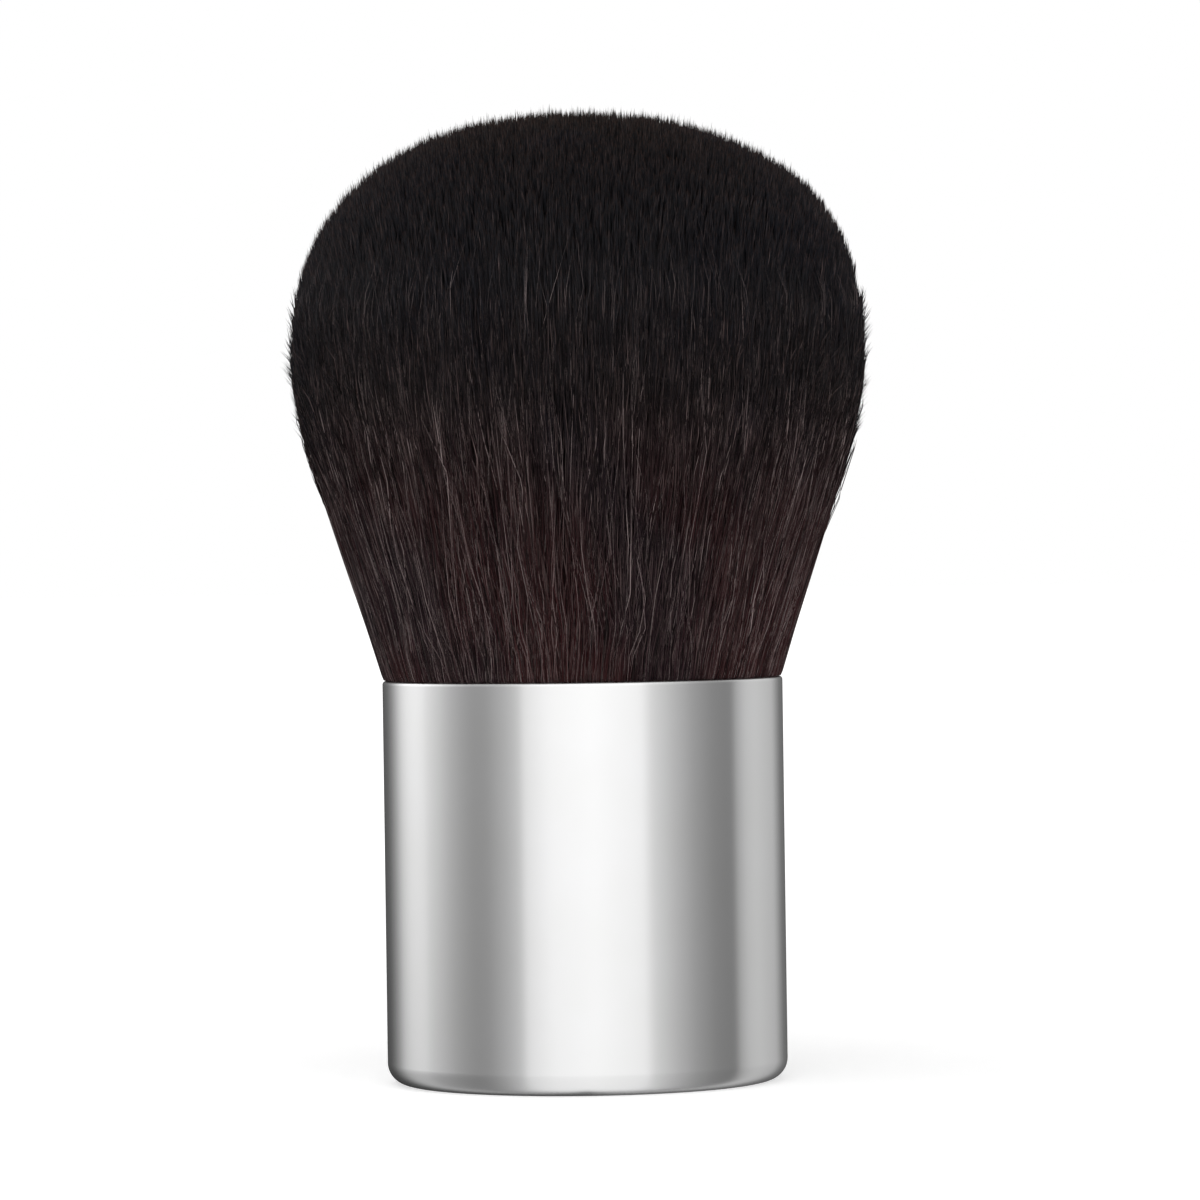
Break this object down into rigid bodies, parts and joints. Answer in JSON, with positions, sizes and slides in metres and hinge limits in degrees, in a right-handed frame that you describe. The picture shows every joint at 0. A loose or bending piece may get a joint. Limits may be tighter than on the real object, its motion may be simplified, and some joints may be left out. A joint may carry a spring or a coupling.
{
  "type": "kabuki makeup brush",
  "caption": "Short powder brush with a dense domed head of dark hair, set in a cup-shaped aluminium shell that is both ferrule and handle and that the brush stands on.",
  "frame": {"origin": "centre of the flat base that the brush stands on", "axes": "+Z along the brush's axis, from the base to the top of the hair"},
  "size_m": [0.0428, 0.0428, 0.0726],
  "materials": {
    "satin_aluminium": "drawn and satin anodised, natural silver",
    "carrier_plastic": "moulded, dark grey",
    "glue": "cured adhesive, cream",
    "resin": "cured resin, amber",
    "thread": "waxed polyester thread, undyed",
    "hair": "fine black-brown brush hair"
  },
  "bodies": {
    "root": {"shell": "satin_aluminium", "carrier": "carrier_plastic", "floor_glue": "glue", "wall_glue": "glue", "root_resin": "resin", "tie_thread": "thread", "hair_tuft": "hair"}
  },
  "joints": []
}
